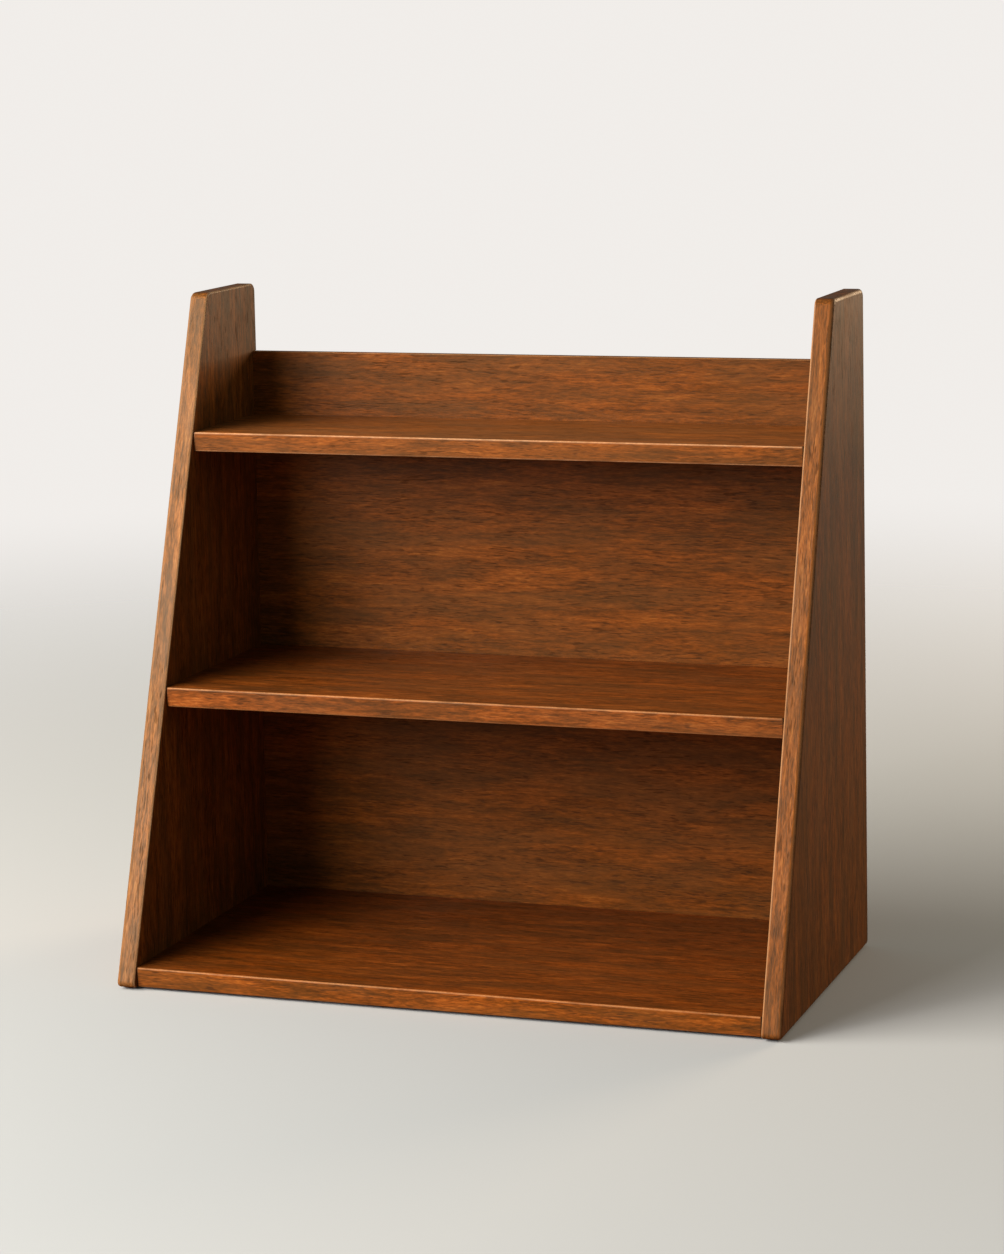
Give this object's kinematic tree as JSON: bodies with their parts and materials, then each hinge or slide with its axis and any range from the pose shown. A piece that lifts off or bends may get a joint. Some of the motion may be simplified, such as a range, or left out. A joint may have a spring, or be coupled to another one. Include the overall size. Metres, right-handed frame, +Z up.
{
  "type": "tabletop display shelf",
  "caption": "Table-top stand for albums: open shelves of growing depth between two tapering side boards, with a back panel that ends in a low rail.",
  "frame": {"origin": "on the surface that the stand stands on, in the middle of its width and of the side boards' foot depth", "axes": "+X to the viewer's right, +Y to the back panel, +Z up; the open front faces -Y"},
  "size_m": [0.52, 0.2684, 0.5155],
  "materials": {
    "walnut": "stained red-brown, satin lacquer",
    "beech": "plain, unfinished",
    "steel": "zinc plated",
    "felt": "pressed felt"
  },
  "bodies": {
    "root": {"left_side": "walnut", "right_side": "walnut", "bottom_shelf": "walnut", "middle_shelf": "walnut", "top_shelf": "walnut", "back_panel": "walnut", "bottom_left_dowels": "beech", "bottom_right_dowels": "beech", "middle_left_dowels": "beech", "middle_right_dowels": "beech", "top_left_dowels": "beech", "top_right_dowels": "beech", "bottom_screws": "steel", "middle_screws": "steel", "top_screws": "steel", "front_left_pad": "felt", "front_right_pad": "felt", "rear_left_pad": "felt", "rear_right_pad": "felt"}
  },
  "joints": []
}
